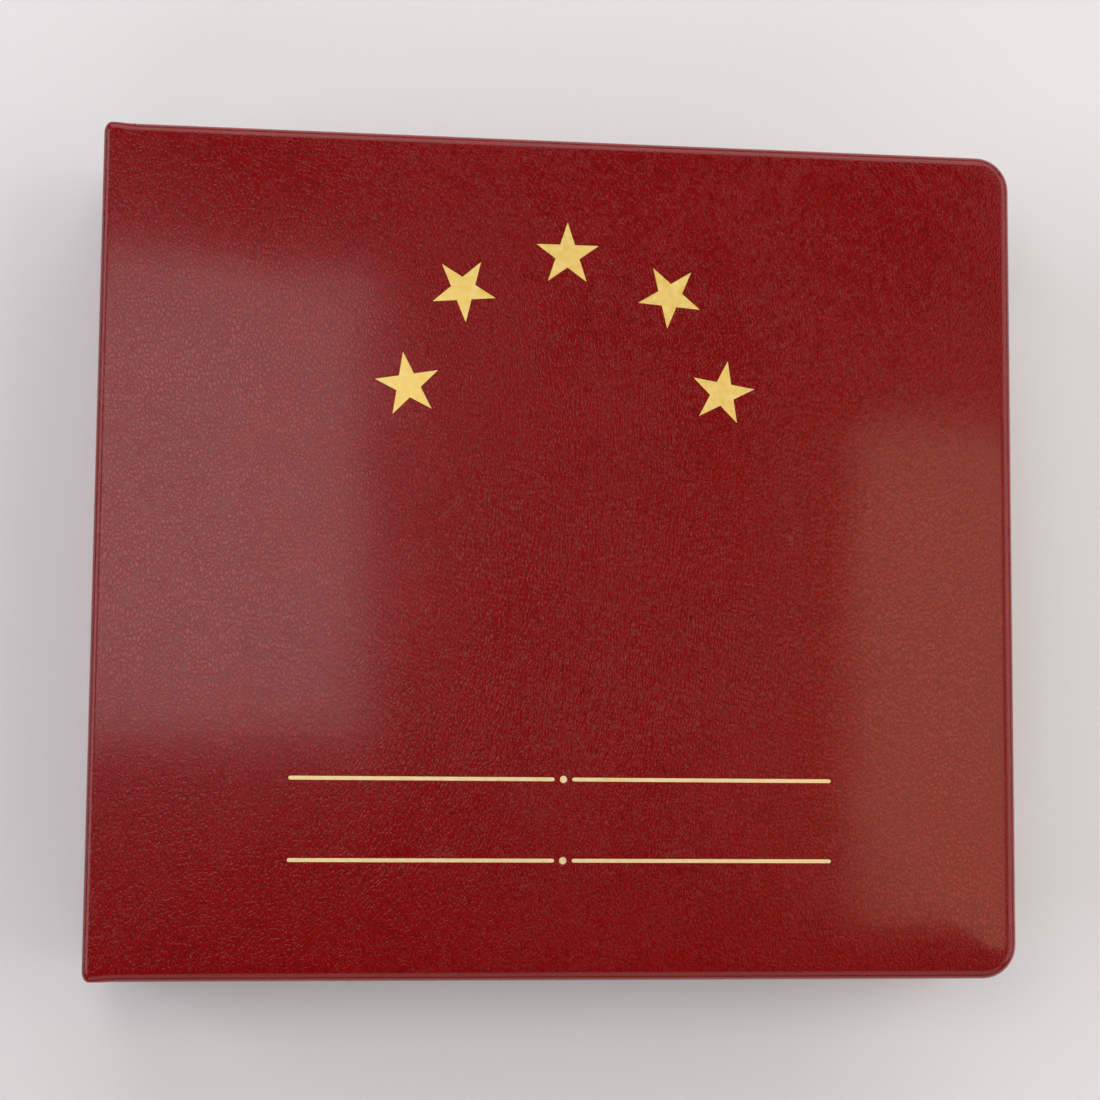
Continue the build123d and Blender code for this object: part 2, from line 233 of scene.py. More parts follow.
def buildLeatherGrain():
    # long shallow wrinkles over fine pebbles, with softer grain where Evenness is low
    group, source, sink = newGroup(
        "leatherGrain",
        [("Vector", "NodeSocketVector", None), ("Wrinkles per metre", "NodeSocketFloat", 900.0),
         ("Evenness", "NodeSocketFloat", 1.0)],
        [("Height", "NodeSocketFloat"), ("Crease", "NodeSocketFloat"), ("Blotch", "NodeSocketFloat")])
    vector, density, evenness = (source.outputs[i] for i in range(3))
    calc = calculator(group)
    longWay = stretchNode(group, bendVector(group, vector, 13.0, 0.022), (1.0, 0.6, 1.0), (0.0, 0.0, 0.12))
    wandering = bendVector(group, longWay, 420.0, 0.0012)
    edge = voronoiNode(group, wandering, density, "DISTANCE_TO_EDGE")
    wrinkle = rangeNode(group, edge, 0.0, 0.22, 0.0, 1.0, smooth=True)
    fine = noiseNode(group, wandering, calc("MULTIPLY", density, 2.3), 3.0, 0.6)
    broken = rangeNode(group, noiseNode(group, vector, 330.0, 2.0), 0.3, 0.6, 0.7, 1.0)
    height = calc("ADD", calc("MULTIPLY", wrinkle, broken), calc("MULTIPLY", fine, 0.5))
    crease = calc("SUBTRACT", 1.0, wrinkle)
    for label, value in (("Height", calc("MULTIPLY", height, evenness)),
                         ("Crease", calc("MULTIPLY", crease, evenness)),
                         ("Blotch", noiseNode(group, vector, 45.0, 3.0, 0.5))):
        group.links.new(value, sink.inputs[label])
    return group


def buildFibre():
    # Short paper fibres and cloudy tone.
    group, source, sink = newGroup(
        "paperFibre",
        [("Vector", "NodeSocketVector", None), ("Fineness", "NodeSocketFloat", 1800.0)],
        [("Height", "NodeSocketFloat"), ("Cloud", "NodeSocketFloat")])
    vector, fineness = source.outputs[0], source.outputs[1]
    threads = noiseNode(group, stretchNode(group, vector, (1.0, 0.35, 1.0), (0.0, 0.0, 0.6)), fineness, 3.0)
    group.links.new(threads, sink.inputs["Height"])
    group.links.new(noiseNode(group, vector, 30.0, 4.0), sink.inputs["Cloud"])
    return group


def buildScuff():
    # Hairline scratches in two directions, for plated and rolled metal.
    group, source, sink = newGroup(
        "metalScuff",
        [("Vector", "NodeSocketVector", None), ("Lines per metre", "NodeSocketFloat", 4000.0)],
        [("Scratch", "NodeSocketFloat"), ("Smudge", "NodeSocketFloat")])
    vector, lines = source.outputs[0], source.outputs[1]
    along = noiseNode(group, stretchNode(group, vector, (1.0, 0.02, 1.0)), lines, 2.0)
    group.links.new(rangeNode(group, along, 0.45, 0.7), sink.inputs["Scratch"])
    group.links.new(noiseNode(group, vector, 160.0, 3.0), sink.inputs["Smudge"])
    return group


leatherGrain = buildLeatherGrain()
paperFibre = buildFibre()
metalScuff = buildScuff()


def useGroup(tree, group, vector, **values):
    node = tree.nodes.new("ShaderNodeGroup")
    node.node_tree = group
    tree.links.new(vector, node.inputs["Vector"])
    for label, value in values.items():
        setOrLink(tree, node.inputs[label.replace("_", " ")], value)
    return node


def newFinish(name, **settings):
    # A material with its Principled BSDF, its constants set on the shader's own sockets.
    material = bpy.data.materials.new(name)
    material.use_nodes = True
    tree = material.node_tree
    shader = tree.nodes["Principled BSDF"]
    for label, value in settings.items():
        shader.inputs[label.replace("_", " ")].default_value = value
    where = tree.nodes.new("ShaderNodeTexCoord").outputs["Object"]
    return material, tree, shader, where


def feed(tree, shader, **values):
    for label, value in values.items():
        tree.links.new(value, shader.inputs[label.replace("_", " ")])


def bump(tree, shader, height, depth, strength=1.0):
    node = tree.nodes.new("ShaderNodeBump")
    node.inputs["Distance"].default_value = depth
    node.inputs["Strength"].default_value = strength
    tree.links.new(height, node.inputs["Height"])
    tree.links.new(node.outputs[0], shader.inputs["Normal"])


def attributeNode(tree, name, output="Fac"):
    node = tree.nodes.new("ShaderNodeAttribute")
    node.attribute_name = name
    return node.outputs[output]


# Finishes

leather = {
    "colour": (0.258, 0.0014, 0.0024, 1.0),
    # painted shade: the colour laid into the grain's creases
    "creaseShade": (0.105, 0.0008, 0.0014, 1.0),
    "blotchColour": (0.280, 0.0022, 0.0030, 1.0),
    "creaseShadeShare": 0.6,       # how much of the painted crease shade shows in a crease
    "roughness": (0.16, 0.23),  # on a pebble, and in a crease
    "wrinklesPerMetre": 1150.0,
    "grainDepth": 0.00005,
    "plainBand": 0.0035,      # the grain is stretched smooth this near a free edge
}
lining = {
    "dark": (0.105, 0.006, 0.009, 1.0),
    "light": (0.145, 0.010, 0.014, 1.0),
    "cloud": (0.06, 0.003, 0.005, 1.0),
    "wave": {"Scale": 120.0, "Distortion": 9.0, "Detail": 3.0, "Detail Scale": 1.2},
    "threadDepth": 0.00005,
}
paperDepth = 0.00004              # height of the fibres in paper and card


def makeLeather():
    material, tree, shader, where = newFinish(
        "maroonLeatherette", Coat_Weight=0.38, Coat_Roughness=0.1, Specular_IOR_Level=0.26)
    edge = attributeNode(tree, "edgeDistance")
    even = rangeNode(tree, edge, 0.0005, leather["plainBand"], 0.25, 1.0, smooth=True)
    grain = useGroup(tree, leatherGrain, where, Wrinkles_per_metre=leather["wrinklesPerMetre"],
                     Evenness=even)
    blotch, crease = rangeNode(tree, grain.outputs["Blotch"], 0.35, 0.7), grain.outputs["Crease"]
    tone = mixColour(tree, blotch, leather["colour"], leather["blotchColour"])
    # painted shade: the base colour is darkened in the grain's creases
    share = mathNode(tree, "MULTIPLY", crease, leather["creaseShadeShare"])
    feed(tree, shader, Base_Color=mixColour(tree, share, tone, leather["creaseShade"]),
         Roughness=rangeNode(tree, crease, 0.0, 1.0, *leather["roughness"]))
    bump(tree, shader, grain.outputs["Height"], leather["grainDepth"])
    return material


def makeLining():
    material, tree, shader, where = newFinish("maroonLining", Roughness=0.55, Specular_IOR_Level=0.35)
    fibre = useGroup(tree, paperFibre, where, Fineness=900.0)
    moire = tree.nodes.new("ShaderNodeTexWave")
    moire.bands_direction = "Y"
    for label, value in lining["wave"].items():
        moire.inputs[label].default_value = value
    tree.links.new(stretchNode(tree, where, (0.35, 1.0, 1.0)), moire.inputs["Vector"])
    tone = mixColour(tree, moire.outputs["Fac"], lining["dark"], lining["light"])
    cloud = mathNode(tree, "MULTIPLY", fibre.outputs["Cloud"], 0.4)
    feed(tree, shader, Base_Color=mixColour(tree, cloud, tone, lining["cloud"]))
    bump(tree, shader, fibre.outputs["Height"], lining["threadDepth"])
    return material


def makePaper(name, colour, shade, fineness=1800.0, roughness=0.75):
    material, tree, shader, where = newFinish(name, Roughness=roughness, Specular_IOR_Level=0.3)
    fibre = useGroup(tree, paperFibre, where, Fineness=fineness)
    cloud = rangeNode(tree, fibre.outputs["Cloud"], 0.35, 0.7)
    feed(tree, shader, Base_Color=mixColour(tree, cloud, colour, shade))
    bump(tree, shader, fibre.outputs["Height"], paperDepth)
    return material


def makeFoam():
    material, tree, shader, where = newFinish("creamFoam", Roughness=0.95)
    cells = voronoiNode(tree, where, 1500.0, "F1")
    # painted shade: each foam cell is coloured darker towards its hollow middle
    tone = mixColour(tree, rangeNode(tree, cells, 0.1, 0.7), (0.55, 0.50, 0.38, 1.0),
                     (0.80, 0.76, 0.62, 1.0))
    feed(tree, shader, Base_Color=tone)
    bump(tree, shader, cells, 0.0003)
    return material


def makeFoil(name, shade, light):
    material, tree, shader, where = newFinish(name, Metallic=0.25)
    patch = noiseNode(tree, where, 420.0, 4.0, 0.6)
    feed(tree, shader, Base_Color=mixColour(tree, rangeNode(tree, patch, 0.3, 0.7), shade, light),
         Roughness=rangeNode(tree, patch, 0.3, 0.75, 0.30, 0.48))
    bump(tree, shader, noiseNode(tree, where, 1500.0, 3.0), 0.00004)
    return material


def makeMetal(name, colour, low, high, lines):
    material, tree, shader, where = newFinish(name, Metallic=1.0)
    scuff = useGroup(tree, metalScuff, where, Lines_per_metre=lines)
    dull = tuple(c * 0.7 for c in colour[:3]) + (1.0,)
    smudge = mathNode(tree, "MULTIPLY", scuff.outputs["Smudge"], 0.35)
    feed(tree, shader, Base_Color=mixColour(tree, smudge, colour, dull),
         Roughness=rangeNode(tree, scuff.outputs["Scratch"], 0.0, 1.0, low, high))
    bump(tree, shader, scuff.outputs["Scratch"], 0.00001, 0.5)
    return material


def makeFilm():
    # clear soft vinyl: mostly seen through, more solid where it turns away
    material, tree, shader, where = newFinish(
        "clearVinyl", Base_Color=(0.93, 0.95, 0.97, 1.0), Roughness=0.12, Coat_Weight=0.3,
        Coat_Roughness=0.1)
    facing = tree.nodes.new("ShaderNodeLayerWeight")
    facing.inputs["Blend"].default_value = 0.35
    veil = rangeNode(tree, facing.outputs["Facing"], 0.0, 1.0, 0.10, 0.55)
    haze = rangeNode(tree, noiseNode(tree, where, 35.0, 3.0), 0.4, 0.7, 0.0, 0.05)
    feed(tree, shader, Alpha=mathNode(tree, "ADD", veil, haze, clamp=True))
    bump(tree, shader, noiseNode(tree, where, 22.0, 2.0), 0.00015, 0.6)
    return material


cardInk = {
    "paper": (0.83, 0.79, 0.68, 1.0),
    "shade": (0.76, 0.71, 0.58, 1.0),
    "ink": (0.20, 0.012, 0.016, 1.0),
    "pitch": 0.056,           # between two stamps' places
    "frame": (0.0185, 0.0235),
    "frameGap": 0.0012,       # from the frame in to its fine second line
    "border": (0.0905, 0.0475),
    "line": 0.0004,
    "ruleDrop": 0.0345,
    "ruleHalf": 0.0135,
}
stampFace = {
    "frame": (0.0120, 0.0168),
    "railInset": 0.0011,
    "oval": (0.0084, 0.0115),
    "leastPetals": 6.0,
    "petalChoices": 7.0,
    "ringTurns": 26.0,        # radians of ripple from the oval's middle to its rim
    "petalSwing": 2.4,
    "hatchTurns": 5200.0,     # radians of hatching per metre
    "gold": (1.0, 0.72, 0.25, 1.0),
    "shade": (0.62, 0.38, 0.08, 1.0),
    # painted shade: the colour of the relief's pressed hollows
    "pale": (1.0, 0.82, 0.45, 1.0),
    "relief": 0.00012,
}


def storedPlace(tree, name):
    # x and y of a place that is stored on the mesh
    parts = tree.nodes.new("ShaderNodeSeparateXYZ")
    tree.links.new(attributeNode(tree, name, "Vector"), parts.inputs[0])
    return parts.outputs[0], parts.outputs[1]


def makeCard():
    # cream card with ruled frames round the stamps' places, a short rule under each, and a border
    material, tree, shader, where = newFinish("mountingCard", Roughness=0.7, Specular_IOR_Level=0.3)
    calc = calculator(tree)
    fibre = useGroup(tree, paperFibre, where, Fineness=1800.0)
    cloud = rangeNode(tree, fibre.outputs["Cloud"], 0.35, 0.7)
    x, y = storedPlace(tree, "printPlace")
    pitch, line, gap = cardInk["pitch"], cardInk["line"], cardInk["frameGap"]
    folded = calc("ABSOLUTE", calc("WRAP", x, pitch / 2, -pitch / 2))
    middle = calc("ABSOLUTE", x)

    def frameLine(xs, half, width):
        beyondX = calc("SUBTRACT", xs, half[0])
        beyondY = calc("SUBTRACT", calc("ABSOLUTE", y), half[1])
        return calc("LESS_THAN", calc("ABSOLUTE", calc("MAXIMUM", beyondX, beyondY)), width / 2)

    outer = frameLine(folded, cardInk["frame"], line)
    inner = frameLine(folded, [half - gap for half in cardInk["frame"]], line * 0.5)
    printed = calc("LESS_THAN", middle, pitch * 1.5)    # three frames, and no part of a fourth
    frames = calc("MULTIPLY", calc("MAXIMUM", outer, inner), printed)
    border = frameLine(middle, cardInk["border"], line)
    under = calc("ABSOLUTE", calc("ADD", y, cardInk["ruleDrop"]))
    rule = calc("MULTIPLY", calc("LESS_THAN", under, line),
                calc("LESS_THAN", folded, cardInk["ruleHalf"]))
    ink = calc("MAXIMUM", frames, calc("MAXIMUM", border, rule))
    paper = mixColour(tree, cloud, cardInk["paper"], cardInk["shade"])
    feed(tree, shader, Base_Color=mixColour(tree, ink, paper, cardInk["ink"]))
    bump(tree, shader, fibre.outputs["Height"], paperDepth)
    return material


def makeStamp():
    # gold face with a pressed frame and a pressed rosette that differs from stamp to stamp
    face = stampFace
    material, tree, shader, where = newFinish("goldStamp", Metallic=0.85)
    calc = calculator(tree)
    x, y = storedPlace(tree, "stampPlace")
    kind = attributeNode(tree, "stampKind")
    outside = calc("MAXIMUM", *(calc("SUBTRACT", calc("ABSOLUTE", spot), half)
                                for spot, half in zip((x, y), face["frame"])))

    def ridge(value, middle, half):
        return rangeNode(tree, calc("ABSOLUTE", calc("SUBTRACT", value, middle)), 0.0, half, 1.0, 0.0)

    picture = rangeNode(tree, outside, -0.0001, 0.0001, 1.0, 0.0)
    rail = ridge(outside, -face["railInset"], 0.0004)
    across, along = (calc("DIVIDE", spot, half) for spot, half in zip((x, y), face["oval"]))
    reach = calc("SQRT", calc("ADD", calc("MULTIPLY", across, across), calc("MULTIPLY", along, along)))
    petals = calc("ADD", calc("FLOOR", calc("MULTIPLY", kind, face["petalChoices"])), face["leastPetals"])
    swing = calc("SINE", calc("MULTIPLY", calc("ARCTAN2", along, across), petals))
    rings = calc("SINE", calc("ADD", calc("MULTIPLY", reach, face["ringTurns"]),
                              calc("MULTIPLY", swing, face["petalSwing"])))
    medal = calc("MULTIPLY", rangeNode(tree, reach, 0.97, 1.03, 1.0, 0.0), rings)
    hatch = calc("SINE", calc("MULTIPLY", y, face["hatchTurns"]))
    ground = calc("MULTIPLY", rangeNode(tree, reach, 1.10, 1.14), hatch)
    pressed = calc("ADD", calc("MULTIPLY", medal, 0.5), calc("MULTIPLY", ground, 0.22))
    relief = calc("ADD", calc("MULTIPLY", pressed, picture),
                  calc("MAXIMUM", ridge(reach, 1.06, 0.05), rail))
    # painted shade: the relief's pressed hollows are coloured a darker gold
    tone = mixColour(tree, rangeNode(tree, relief, -0.5, 0.5), face["shade"], face["gold"])
    worn = rangeNode(tree, noiseNode(tree, where, 90.0, 2.0), 0.4, 0.7, 0.0, 0.25)
    feed(tree, shader, Base_Color=mixColour(tree, worn, tone, face["pale"]),
         Roughness=rangeNode(tree, relief, -0.5, 0.5, 0.42, 0.26))
    bump(tree, shader, relief, face["relief"])
    return material


leatherFinish = makeLeather()
liningFinish = makeLining()
foamFinish = makeFoam()
boardFinish = makePaper("greyBoard", (0.30, 0.25, 0.18, 1.0), (0.22, 0.18, 0.13, 1.0), 900.0, 0.9)
cardFinish = makeCard()
stampFinish = makeStamp()
foilFinish = makeFoil("goldFoil", (1.0, 0.66, 0.14, 1.0), (1.0, 0.79, 0.27, 1.0))
ruleFinish = makeFoil("paleGoldFoil", (1.0, 0.74, 0.33, 1.0), (1.0, 0.84, 0.48, 1.0))
nickelFinish = makeMetal("nickelPlate", (0.80, 0.79, 0.77, 1.0), 0.12, 0.26, 3500.0)
bladeFinish = makeMetal("rolledSteel", (0.55, 0.55, 0.55, 1.0), 0.28, 0.48, 5000.0)
filmFinish = makeFilm()
print("stage: finishes built")

# Padded covering: each cover is drawn flat as (s, y): s runs away from the hinge, y along the spine.
# A place is made from (s, y, height), with height counted outwards from its face.

pad = {
    "roll": 3.2 * mm,         # radius of the padded edge
    "crown": 0.9 * mm,        # how far the front cover's padding stands up
    "crownReach": 16.0 * mm,  # from the edge to where the crown is nearly full
    "hingeReach": 34.0 * mm,  # the same from the hinge, where the face stays flush with the fold
    "skin": 0.9 * mm,
    "corner": 10.0 * mm,
    "turnIn": 12.0 * mm,
    "flatFrom": 11.0 * mm,    # inset of the loop where the flat middle begins
    "leastCorner": 0.6 * mm,  # radius that an inset loop's corners keep
    "loopSteps": (70, 10, 60),  # along a side, round a corner and along the fore edge
    "hingeSteps": 60,
    "step": 3.2 * mm,         # of the staggered points in the flat middle
    "rowShare": 0.87,         # gap between their rows, as a share of the step
    "waviness": 0.05 * mm,
    "rippleScale": 38,        # ripples of the padding per metre, roughly
}


def frontPlace(s, y, height):
    return Vector((s, y, topZ + height))


def backPlace(s, y, height):
    return Vector((s, y, -height))


def freeDistance(s, y):
    # Distance inwards from the cover's three free edges, round its two corners.
    alongX, alongY = foreX - s, headY - abs(y)
    radius = pad["corner"]
    if alongX < radius and alongY < radius:
        return radius - math.hypot(radius - alongX, radius - alongY)
    return min(alongX, alongY)


def rollDepth(distance, radius):
    if distance >= radius:
        return 0.0
    reach = radius - max(distance, 0.0)
    return radius - math.sqrt(max(radius * radius - reach * reach, 0.0))


def smoothStep(x):
    x = min(max(x, 0.0), 1.0)
    return x * x * (3 - 2 * x)


def padHeight(distance, crown, s, y):
    # Height of the padded face at this distance from its nearest free edge.
    swell = 1 - math.exp(-max(distance - pad["roll"] * 0.6, 0.0) / pad["crownReach"])
    swell *= smoothStep((s - coverLowX) / pad["hingeReach"])
    scale = pad["rippleScale"]
    ripple = noise.noise(Vector((s * scale, y * scale, crown * 900))) * pad["waviness"]
    return swell * (crown + ripple * (crown > 0)) - rollDepth(distance, pad["roll"])


def edgeLoop(inset):
    # the cover's outline moved inwards, from the hinge at the tail round to the hinge at the head
    radius = max(pad["corner"] - inset, pad["leastCorner"])
    cornerX, cornerY = foreX - inset - radius, headY - inset - radius
    side, corner, fore = pad["loopSteps"]
    tail = [(coverLowX + (cornerX - coverLowX) * i / side, -headY + inset) for i in range(side)]
    front = [(foreX - inset, -cornerY + 2 * cornerY * i / fore) for i in range(fore)]
    head = [(cornerX + (coverLowX - cornerX) * i / side, headY - inset) for i in range(side + 1)]
    return (tail + arcPoints((cornerX, -cornerY), radius, -90, 0, corner) + front
            + arcPoints((cornerX, cornerY), radius, 0, 90, corner) + head)


def edgeProfile(thickness):
    # (inset, height) steps from the turn-in's inner edge, round the side, to the flat middle.
    radius = pad["roll"]
    under = -panelDepth
    steps = [(pad["turnIn"], under + thickness), (6 * mm, under + thickness), (1.6 * mm, under + thickness),
             (0.5 * mm + thickness * 0.5, under + 0.25 * mm + thickness), (thickness, under + 1.1 * mm)]
    steps += [(thickness, -radius - 1.0 * mm)]
    for i in range(9):
        turn = math.radians(90 * i / 8)
        arc = radius - thickness
        steps.append((radius - arc * math.cos(turn), -radius + arc * math.sin(turn)))
    steps += [(radius + 1.2 * mm, -thickness), (radius + 3.0 * mm, -thickness),
              (8.5 * mm, -thickness), (pad["flatFrom"], -thickness)]
    return steps


def insidePolygon(point, polygon):
    x, y = point
    inside = False
    for (x0, y0), (x1, y1) in zip(polygon, polygon[1:] + polygon[:1]):
        if (y0 > y) != (y1 > y) and x < (x1 - x0) * (y - y0) / (y1 - y0) + x0:
            inside = not inside
    return inside


def widen(polygon, amount):
    # The same outline, moved outwards along its corners' bisectors.
    wide = []
    for i, point in enumerate(polygon):
        before, here, after = (Vector(p) for p in (polygon[i - 1], point, polygon[(i + 1) % len(polygon)]))
        first, second = (here - before).normalized(), (after - here).normalized()
        normal = Vector((first.y + second.y, -first.x - second.x))
        normal.normalize()
        lean = max(normal.dot(Vector((first.y, -first.x))), 0.35)
        wide.append(tuple(here + normal * amount / lean))
    return wide


def flatPoints(dents):
    # staggered points over the flat middle, clear of every pressed outline
    step, margin = pad["step"], pad["flatFrom"]
    spots, row, y = [], 0, -headY + margin + step * 0.6
    while y < headY - margin - step * 0.4:
        s = coverLowX + step * (0.6 + 0.5 * (row % 2))
        while s < foreX - margin - step * 0.4:
            if not any(dent["box"][0] < s < dent["box"][1] and dent["box"][2] < y < dent["box"][3]
                       and insidePolygon((s, y), dent["clear"]) for dent in dents):
                spots.append(Vector((s, y)))
            s += step
        y += step * pad["rowShare"]
        row += 1
    return spots


def coverSkin(name, place, crown, dents, flip, body, nodeName):
    # a whole cover's covering: flat middle, padded rim, side and turn-in, as one closed sheet
    outerSteps, innerSteps = edgeProfile(0.0), edgeProfile(pad["skin"])
    outer, inner, edge, faces = [], [], [], []
    width = len(edgeLoop(0))
    for (inset, height), (insetIn, heightIn) in zip(outerSteps, innerSteps):
        onFace = height >= -pad["roll"]
        for (s, y), (sIn, yIn) in zip(edgeLoop(inset), edgeLoop(insetIn)):
            lift = padHeight(inset, crown, s, y) + rollDepth(inset, pad["roll"]) if onFace else 0.0
            outer.append(place(s, y, height + lift))
            inner.append(place(sIn, yIn, heightIn + lift))
            edge.append(inset if onFace else 0.0)
    for row in range(len(outerSteps) - 1):
        for i in range(width - 1):
            a, b = row * width + i, (row + 1) * width + i
            faces.append([a, a + 1, b + 1, b])

    outline = edgeLoop(pad["flatFrom"])
    headEnd, tailEnd, count = outline[-1][1], outline[0][1], pad["hingeSteps"]
    outline += [(coverLowX, headEnd + (tailEnd - headEnd) * i / count) for i in range(1, count)]
    points, edges = [], []
    addLoop(points, edges, outline)
    levels = [0.0] * len(points)
    for dent in dents:
        loops = [(dent["outline"], -foil["depth"])]
        loops += [(widen(dent["outline"], foil["wall"] + reach), 0.0) for reach in dent["supports"]]
        for polygon, level in loops:
            addLoop(points, edges, polygon)
            levels += [level] * len(polygon)
    points += flatPoints(dents)
    levels += [0.0] * (len(points) - len(levels))
    flat = geometry.delaunay_2d_cdt(points, edges, [list(range(len(outline)))], 1, 1e-7)
    ringStart = (len(outerSteps) - 1) * width
    index = {}
    for i, (point, origins) in enumerate(zip(flat[0], flat[3])):
        border = [o for o in origins if o < width]
        if border:
            index[i] = ringStart + border[0]
            continue
        level = min((levels[o] for o in origins), default=0.0)
        inset = freeDistance(point.x, point.y)
        height = padHeight(inset, crown, point.x, point.y)
        index[i] = len(outer)
        outer.append(place(point.x, point.y, height + level))
        inner.append(place(point.x, point.y, height - pad["skin"]))
        edge.append(inset)
    faces += [[index[i] for i in face] for face in flat[2]]
    if flip:
        faces = [list(reversed(face)) for face in faces]
    piece = makeObject(name, *closeShell(outer, inner, faces))
    storeFloat(piece, "edgeDistance", edge + edge)
    paint(piece, leatherFinish)
    settle(piece, "leatherette", body, nodeName)


# Foil ornament: stars on an arc and dotted rules

foil = {
    "starRadius": 9.8 * mm,
    "starInner": 0.382,       # inner corners as a share of the star's radius
    "starCount": 5,
    "starStep": math.radians(40.7),
    "arcRadius": 46.5 * mm,
    "arcCentreY": 40.7 * mm,
    "ruleLength": 157.0 * mm,
    "ruleWidth": 1.1 * mm,
    "ruleRows": (-65.0 * mm, -88.0 * mm),
    "dotRadius": 1.05 * mm,
    "dotGap": 1.0 * mm,
    "wall": 0.15 * mm,        # width of the sloping wall pressed round the foil
    # further outlines that keep the face smooth beside a star, and beside a rule
    "starSupports": (0.0, 0.25 * mm, 0.8 * mm),
    "ruleSupports": (0.0, 0.22 * mm),
    "depth": 0.2 * mm,
    "sheet": 0.06 * mm,
    "bedGap": 0.005 * mm,     # between a bed and the foil in it
    "shrink": 0.012,          # a foil's outline is this share smaller than its bed
}


def starOutline(number):
    turn = math.pi / 2 + foil["starStep"] * ((foil["starCount"] - 1) / 2 - number)
    arc = foil["arcRadius"]
    centre = Vector((arc * math.cos(turn), foil["arcCentreY"] + arc * math.sin(turn)))
    points = []
    for i in range(10):
        reach = foil["starRadius"] * (1 if i % 2 == 0 else foil["starInner"])
        angle = turn + math.pi / 5 * i
        points.append((centre.x + reach * math.cos(angle), centre.y + reach * math.sin(angle)))
    return points


def ruleOutline(middle, y, length):
    half, radius = length / 2 - foil["ruleWidth"] / 2, foil["ruleWidth"] / 2
    points = []
    for side in (1, -1):
        for i in range(5):
            turn = math.pi * (i / 4 - 0.5) + (0 if side > 0 else math.pi)
            points.append((middle + side * half + radius * math.cos(turn), y + radius * math.sin(turn)))
    return points


def dotOutline(y):
    return [(foil["dotRadius"] * math.cos(math.pi * i / 8), y + foil["dotRadius"] * math.sin(math.pi * i / 8))
            for i in range(16)]


def ruleOutlines():
    outlines = []
    gap = foil["dotRadius"] + foil["dotGap"]
    length = foil["ruleLength"] / 2 - gap
    for y in foil["ruleRows"]:
        outlines += [ruleOutline(side * (gap + length / 2), y, length) for side in (-1, 1)]
        outlines.append(dotOutline(y))
    return outlines


def dentFor(outline, supports):
    # a pressed bed, with the supports' widening and the area that no other point may enter
    xs, ys = [p[0] for p in outline], [p[1] for p in outline]
    margin = foil["wall"] + supports[-1] * 1.8
    return {"outline": outline, "supports": supports, "clear": widen(outline, margin),
            "box": (min(xs) - margin, max(xs) + margin, min(ys) - margin, max(ys) + margin)}


def foilPiece(name, outlines, material, nodeName):
    # thin foil lying in its pressed beds, following the crown of the cover
    outer, inner, faces = [], [], []
    for outline in outlines:
        count, first = len(outline), len(outer)
        middle = tuple(sum(p[axis] for p in outline) / count for axis in (0, 1))
        shrunk = [tuple(Vector(p).lerp(Vector(middle), foil["shrink"])) for p in outline]
        long = max(p[0] for p in outline) - min(p[0] for p in outline) > 4 * foil["starRadius"]
        for x, y in ([] if long else [middle]) + shrunk:
            height = padHeight(freeDistance(x, y), pad["crown"], x, y) - foil["depth"]
            outer.append(frontPlace(x, y, height + foil["sheet"]))
            inner.append(frontPlace(x, y, height + foil["bedGap"]))
        if long:
            faces.append([first + i for i in range(count)])
        else:
            faces += [[first, first + 1 + i, first + 1 + (i + 1) % count] for i in range(count)]
    piece = makeObject(name, *closeShell(outer, inner, faces), smooth=False)
    paint(piece, material)
    settle(piece, "foil", "front_cover", nodeName)


stars, rules = [starOutline(i) for i in range(foil["starCount"])], ruleOutlines()
beds = [dentFor(outline, foil["starSupports"]) for outline in stars]
beds += [dentFor(outline, foil["ruleSupports"]) for outline in rules]
coverSkin("frontCovering", frontPlace, pad["crown"], beds, False, "front_cover",
          "front_leatherette")
coverSkin("backCovering", backPlace, 0.0, [], True, "back_cover", "back_leatherette")
foilPiece("starFoil", stars, foilFinish, "foil_stars")
foilPiece("ruleFoil", rules, ruleFinish, "foil_rules")
print("stage: covers and foil built")

# Strips that run along the spine: the spine's covering, the hinge folds and their linings

strip = {
    "foldRoll": 1.9 * mm,     # how deep a fold's two ends curl in
    "spineSteps": (48, 190),  # across and along the spine
    "foldSteps": (5, 8),      # along each straight of a fold's path, and round its corner
    "rivetDimple": 2.6 * mm,  # how far each rivet draws the covering in
    "rivetFlat": 5.5 * mm,    # this far from the rivet's middle it lies flat
    "rivetReach": 11.0 * mm,
    "lining": 0.35 * mm,
    "liningShort": 3.5 * mm,  # the lining stops this short of the fold's ends
    "wallGap": 0.6 * mm,      # from a panel's face to the leatherette over its board's end
    "edgeLift": 0.1 * mm,
    "rivetInset": 5.0 * mm,   # from the rivets' box to a rivet's middle
}
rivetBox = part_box("spine_rivets")
rivetYs = (rivetBox[0].y + strip["rivetInset"], rivetBox[1].y - strip["rivetInset"])
middleZ = (spineLowZ + spineHighZ) / 2


def acrossRows(depth, turnIn, count=72):
    # (y, height) steps across a strip, from the tail's hidden edge over the face to the head's.
    radius = pad["roll"]
    rows = []
    if turnIn:
        rows += [(headY - pad["turnIn"], -panelDepth), (headY - 6 * mm, -panelDepth),
                 (headY - 0.5 * mm, -panelDepth + 0.25 * mm), (headY, -panelDepth + 1.1 * mm)]
    for i in range(9):
        turn = math.radians(90 * i / 8)
        rows.append((headY - radius + radius * math.cos(turn), depth * (math.sin(turn) - 1)))
    rows += [(headY - radius - 1.2 * mm, 0.0), (headY - 6.5 * mm, 0.0), (headY - 11 * mm, 0.0)]
    tail = [(-y, height) for y, height in rows]
    middle = [(-headY + 11 * mm + (2 * headY - 22 * mm) * i / count, 0.0) for i in range(1, count)]
    return tail + middle + list(reversed(rows))


